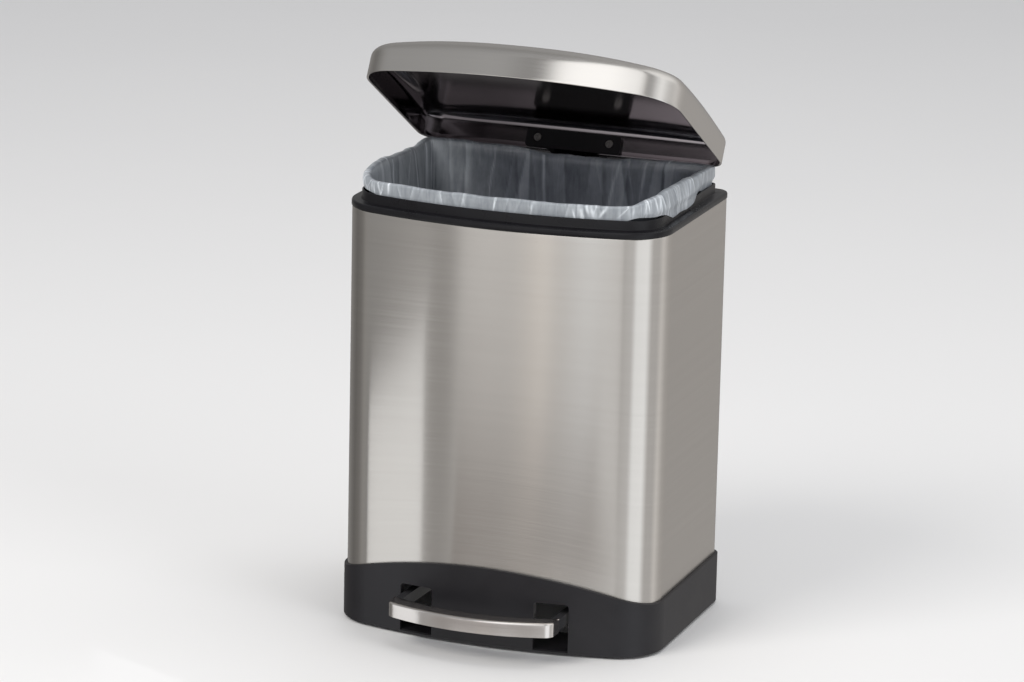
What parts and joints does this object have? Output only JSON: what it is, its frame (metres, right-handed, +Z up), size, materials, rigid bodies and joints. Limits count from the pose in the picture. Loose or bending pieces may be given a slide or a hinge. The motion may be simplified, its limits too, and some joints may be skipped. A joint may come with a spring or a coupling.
{
  "type": "step bin",
  "caption": "Rectangular step bin: brushed steel body with bowed front, black base and pedal, black collar, inner bucket with a folded-over bag, and a hinged steel lid lifted by the pedal.",
  "frame": {"origin": "on the floor, in the middle of the bin's width and of its whole depth with pedal and hinge housing", "axes": "+Z up, -Y towards the pedal at the front, +X to the right as seen from the front"},
  "size_m": [0.2548, 0.2594, 0.4473],
  "materials": {
    "base_black": "fine satin moulded",
    "rubber_foot": "matt",
    "brushed_body": "brushed level",
    "collar_black": "satin moulded",
    "housing_black": "fine satin moulded",
    "zinc_screw": "zinc plated",
    "pin_steel": "turned",
    "damper_grey": "smooth moulded",
    "bucket_grey": "satin moulded",
    "bag_film": "thin creased film",
    "brushed_lid": "brushed level outside, smooth inside",
    "arm_black": "satin moulded",
    "lever_black": "black coating",
    "brushed_tread": "brushed lengthwise"
  },
  "bodies": {
    "bin": {"base": "base_black", "feet": "rubber_foot", "steel_body": "brushed_body", "collar": "collar_black", "hinge_housing": "housing_black", "housing_screws": "zinc_screw", "hinge_pin": "pin_steel", "hinge_clips": "pin_steel", "pivot_pin": "pin_steel", "rod_guide": "housing_black", "damper_cylinder": "damper_grey", "damper_clip": "housing_black", "bucket": "bucket_grey", "bag": "bag_film"},
    "lid_group": {"lid": "brushed_lid", "hinge_arm": "arm_black", "bracket_screws": "zinc_screw", "crank_pin": "pin_steel"},
    "pedal_group": {"pedal_lever": "lever_black", "pedal_body": "arm_black", "tread_cover": "brushed_tread", "tip_pin": "pin_steel"},
    "lift_rod": {"push_rod": "pin_steel", "rod_yoke": "arm_black", "rod_foot": "arm_black", "damper_piston": "pin_steel"}
  },
  "joints": [
    {"name": "lid_hinge", "type": "hinge", "parent": "bin", "child": "lid_group", "pos_m": [0, 0.11865, 0.3335], "axis": [-1, 0, 0], "range_deg": [-30, 48]},
    {"name": "pedal_pivot", "type": "hinge", "parent": "bin", "child": "pedal_group", "pos_m": [0, -0.01635, 0.0267], "axis": [1, 0, 0], "range_deg": [-5.06, 8.1]},
    {"name": "rod_lift", "type": "slide", "parent": "bin", "child": "lift_rod", "axis": [0, 0, 1], "range_m": [-0.00872, 0.01395]}
  ],
  "couplings": [
    {"joint": "pedal_pivot", "follows": "lid_hinge", "ratio": 0.16847},
    {"joint": "rod_lift", "follows": "lid_hinge", "m_per_rad": 0.016642}
  ]
}
